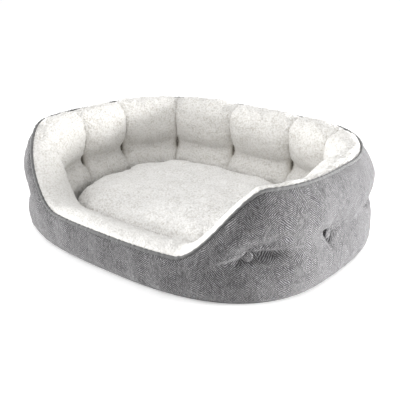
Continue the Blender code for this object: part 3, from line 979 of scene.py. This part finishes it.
cushion = {
    "columns": 200,
    "topRows": 34,
    "underRows": 16,
    "seam": 0.036,  # height of the seam
    "crown": cushionHigh.z,
    "low": 0.0036,  # height of the underside
    "voxel": 0.005,
    "pressure": 4.0,
    "frames": 20,
    "cap": 0.009,  # the furthest that a point may move
    "shrink": 0.004,  # it starts this much smaller
    "topCloth": 0.004,
    "underCloth": 0.0015,
    "fillGap": 0.0075,
    "fullness": 0.7,
    "uneven": ((0.095, 41, 0.0022), (0.034, 42, 0.0009)),  # length, seed and depth
    "curl": (0.0130, 43, 0.0009),
    "pile": 0.75,
}

# Share of the way out to the edge, and share of the height from the seam up to the crown or down.
cushionTopProfile = [
    (1.0, 0.0), (0.994, 0.18), (0.975, 0.34), (0.93, 0.50), (0.85, 0.66), (0.72, 0.80), (0.52, 0.91),
    (0.28, 0.98), (0.05, 1.0),
]
cushionUnderProfile = [
    (1.0, 0.0), (0.992, -0.30), (0.97, -0.62), (0.93, -0.88), (0.87, -1.0), (0.60, -1.0), (0.05, -1.0),
]


def profileCurve(profile, count, height):
    # The curve through a profile's points, with its heights in metres.
    control = np.array(profile)
    line = curveThrough(control[:, None], np.linspace(0, len(control) - 1, count)[:, None])[:, 0]
    return line * np.array([1, height])


def cushionBody():
    # One closed form: the under and top profiles carried round the plan, drawn in to the middle.
    edge = ovalAt(cushion["columns"], cushionHigh.x - bed["halfLength"] - cushion["shrink"])
    under = profileCurve(cushionUnderProfile, cushion["underRows"], cushion["seam"] - cushion["low"])
    rise = cushion["crown"] - cushion["seam"] - cushion["shrink"]
    top = profileCurve(cushionTopProfile, cushion["topRows"], rise)
    line = np.concatenate([under[::-1], top[1:]])
    flat = edge[None] * line[:, :1, None]
    tall = np.broadcast_to(cushion["seam"] + line[:, 1][:, None, None], flat.shape[:2] + (1,))
    return np.concatenate([flat, tall], -1)


def pointValues(mesh, kind):
    # The places ("co") or outward ways ("normal") of a mesh's points.
    found = np.empty(len(mesh.vertices) * 3, np.float32)
    mesh.vertices.foreach_get(kind, found)
    return found.reshape(-1, 3).astype(float)


def movePoints(mesh, points):
    mesh.vertices.foreach_set("co", points.astype(np.float32).ravel())


def simulateCushion(obj):
    # Remesh, inflate as cloth for a few frames, and keep each point within the cap of where it began.
    bpy.context.view_layer.objects.active = obj
    remesh = obj.modifiers.new("remesh", "REMESH")
    remesh.mode, remesh.voxel_size = "VOXEL", cushion["voxel"]
    bpy.ops.object.modifier_apply(modifier="remesh")
    begun = pointValues(obj.data, "co")
    cloth = obj.modifiers.new("cloth", "CLOTH")
    cloth.settings.use_pressure = True
    cloth.settings.uniform_pressure_force = cushion["pressure"]
    cloth.settings.effector_weights.gravity = 0
    cloth.settings.quality = 5
    cloth.point_cache.frame_end = cushion["frames"]
    for number in range(1, cushion["frames"] + 1):
        scene.frame_set(number)
    swollen = obj.evaluated_get(bpy.context.evaluated_depsgraph_get()).to_mesh()
    ended = pointValues(swollen, "co")
    obj.modifiers.clear()
    scene.frame_set(1)
    move = ended - begun
    far = np.linalg.norm(move, axis=1, keepdims=True)
    kept = begun + move * np.minimum(1, cushion["cap"] / (far + 1e-9))
    kept[:, 2] = np.maximum(kept[:, 2], cushion["low"])
    movePoints(obj.data, kept)
    print("cushion swelled by up to", round(float(far.max()) * 1000, 1), "mm")


body = gridObject("cushionBody", cushionBody(), whitePlush, caps=("first", "last"))
simulateCushion(body)
print("cushion form ready")


def partOf(source, name, keep, finish, cloth):
    # The faces of a closed form that keep() picks, given a thickness inwards.
    mesh = source.data.copy()
    work = bmesh.new()
    work.from_mesh(mesh)
    gone = [face for face in work.faces if not keep(face.calc_center_median())]
    bmesh.ops.delete(work, geom=gone, context="FACES")
    work.to_mesh(mesh)
    work.free()
    mesh.materials.clear()
    mesh.materials.append(finish)
    made = bpy.data.objects.new(name, mesh)
    scene.collection.objects.link(made)
    wall = made.modifiers.new("cloth", "SOLIDIFY")
    wall.thickness, wall.offset = cloth, -1
    return made


def puffUp(obj):
    # Plush pile on the cushion: soft hollows and small curls, out along the normal.
    mesh = obj.data
    points = pointValues(mesh, "co")
    length, seed, tall = cushion["curl"]
    lift = unevenness(points, cushion["uneven"]) + (1 - abs(waves(points, length, seed))) * tall
    movePoints(mesh, points + pointValues(mesh, "normal") * lift[:, None])
    for key, value in (("pile", cushion["pile"]), ("crease", 0.0)):
        attribute = mesh.attributes.new(key, "FLOAT", "POINT")
        attribute.data.foreach_set("value", np.full(len(points), value, np.float32))


def makeCushion():
    # The closed form parted at the seam into two covers, and a smaller copy of it for the fill.
    seam = cushion["seam"]
    top = partOf(body, "cushionTopCover", lambda c: c.z > seam, cushionPlushWithPaintedLight, cushion["topCloth"])
    under = partOf(body, "cushionUnderCover", lambda c: c.z <= seam, plainCloth, cushion["underCloth"])
    puffUp(top)
    inner = body.data.copy()
    movePoints(inner, pointValues(inner, "co") - pointValues(inner, "normal") * cushion["fillGap"])
    inner.materials.clear()
    inner.materials.append(polyesterFibre)
    stuffing = bpy.data.objects.new("cushionFill", inner)
    scene.collection.objects.link(stuffing)
    bpy.data.objects.remove(body)
    for made, node, slot in (
        (top, "cushion_top_cover", "white_plush"),
        (under, "cushion_under_cover", "plain_cloth"),
        (stuffing, "cushion_fill", "polyester_fibre"),
    ):
        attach(made, "cushion")
        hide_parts(node)


makeCushion()
print("cushion ready")


studio = {
    "floorSize": 30.0,
    "floor": (0.93, 0.93, 0.93),
    "glow": 0.20,  # of the floor
    "sky": 0.68,
    "sun": 0.92,
    "sunAngle": 70,
    "sunFrom": (-1.0, -3.0, 3.0),
    "boxes": {  # place, size and watts
        "rightBox": ((2.45, 1.36, 0.36), (0.9, 0.6), 172),
        "leftBox": ((-2.4, -1.4, 0.34), (1.3, 0.5), 96),
        "overBox": ((0.1, 0.0, 2.2), (1.0, 1.0), 4),
    },
    "azimuth": 38.17,
    "elevation": 20.72,
    "distance": 1.556,
    "target": (0.0, 0.0, 0.10),
    "lens": 58.5,
    "shiftX": 0.0097,
    "shiftY": -0.0400,
    "roll": 0.62,
}


def makeFloor():
    # A wide pale square that glows a little, so that it stays white.
    half = studio["floorSize"] / 2
    made, _, shader = newMaterial("paleFloor", 0.9)
    shader.inputs["Base Color"].default_value = (*studio["floor"], 1)
    shader.inputs["Emission Color"].default_value = (1, 1, 1, 1)
    shader.inputs["Emission Strength"].default_value = studio["glow"]
    mesh = bpy.data.meshes.new("floor")
    corners = [(-half, -half, 0), (half, -half, 0), (half, half, 0), (-half, half, 0)]
    mesh.from_pydata(corners, [], [(0, 1, 2, 3)])
    mesh.materials.append(made)
    floor = bpy.data.objects.new("floor", mesh)
    scene.collection.objects.link(floor)


def aim(obj, place):
    # Puts it at a place, facing the bed.
    back = (Vector(place) - Vector(studio["target"])).normalized()
    obj.matrix_world = Matrix.Translation(place) @ back.to_track_quat("Z", "Y").to_matrix().to_4x4()


def makeBoxLight(name, place, size, power):
    light = bpy.data.lights.new(name, "AREA")
    light.shape, light.size, light.size_y = "RECTANGLE", size[0], size[1]
    light.energy = power
    obj = bpy.data.objects.new(name, light)
    scene.collection.objects.link(obj)
    aim(obj, place)


def makeSun():
    # A very soft sun from high in front, for the tops, the inside of the wall and the floor.
    light = bpy.data.lights.new("topSun", "SUN")
    light.energy, light.angle = studio["sun"], math.radians(studio["sunAngle"])
    obj = bpy.data.objects.new("topSun", light)
    scene.collection.objects.link(obj)
    aim(obj, studio["sunFrom"])


def makeCamera():
    # Azimuth turns from the front to the right, and the roll is about the line of sight.
    camera = bpy.data.cameras.new("camera")
    camera.lens, camera.sensor_width = studio["lens"], 36.0
    camera.shift_x, camera.shift_y = studio["shiftX"], studio["shiftY"]
    camera.clip_end = 60
    obj = bpy.data.objects.new("camera", camera)
    scene.collection.objects.link(obj)
    turn, lift = math.radians(studio["azimuth"]), math.radians(studio["elevation"])
    back = Vector((math.sin(turn) * math.cos(lift), -math.cos(turn) * math.cos(lift), math.sin(lift)))
    right = Vector((math.cos(turn), math.sin(turn), 0))
    up = back.cross(right)
    place = Vector(studio["target"]) + back * studio["distance"]
    roll = Matrix.Rotation(math.radians(studio["roll"]), 4, "Z")
    facing = Matrix((right, up, back)).transposed().to_4x4()
    obj.matrix_world = Matrix.Translation(place) @ facing @ roll
    scene.camera = obj


def makeWorld():
    # An even sky, white where it is looked at directly.
    world = bpy.data.worlds.new("world")
    scene.world = world
    world.use_nodes = True
    background = world.node_tree.nodes["Background"]
    background.inputs["Color"].default_value = (1, 1, 1, 1)
    seen = Tint(world.node_tree).node("ShaderNodeLightPath", output=0)
    strength = seen * (1 - studio["sky"]) + studio["sky"]
    world.node_tree.links.new(strength.socket, background.inputs["Strength"])


makeFloor()
makeWorld()
makeSun()
for name, (place, size, power) in studio["boxes"].items():
    makeBoxLight(name, place, size, power)
makeCamera()
print("studio ready")
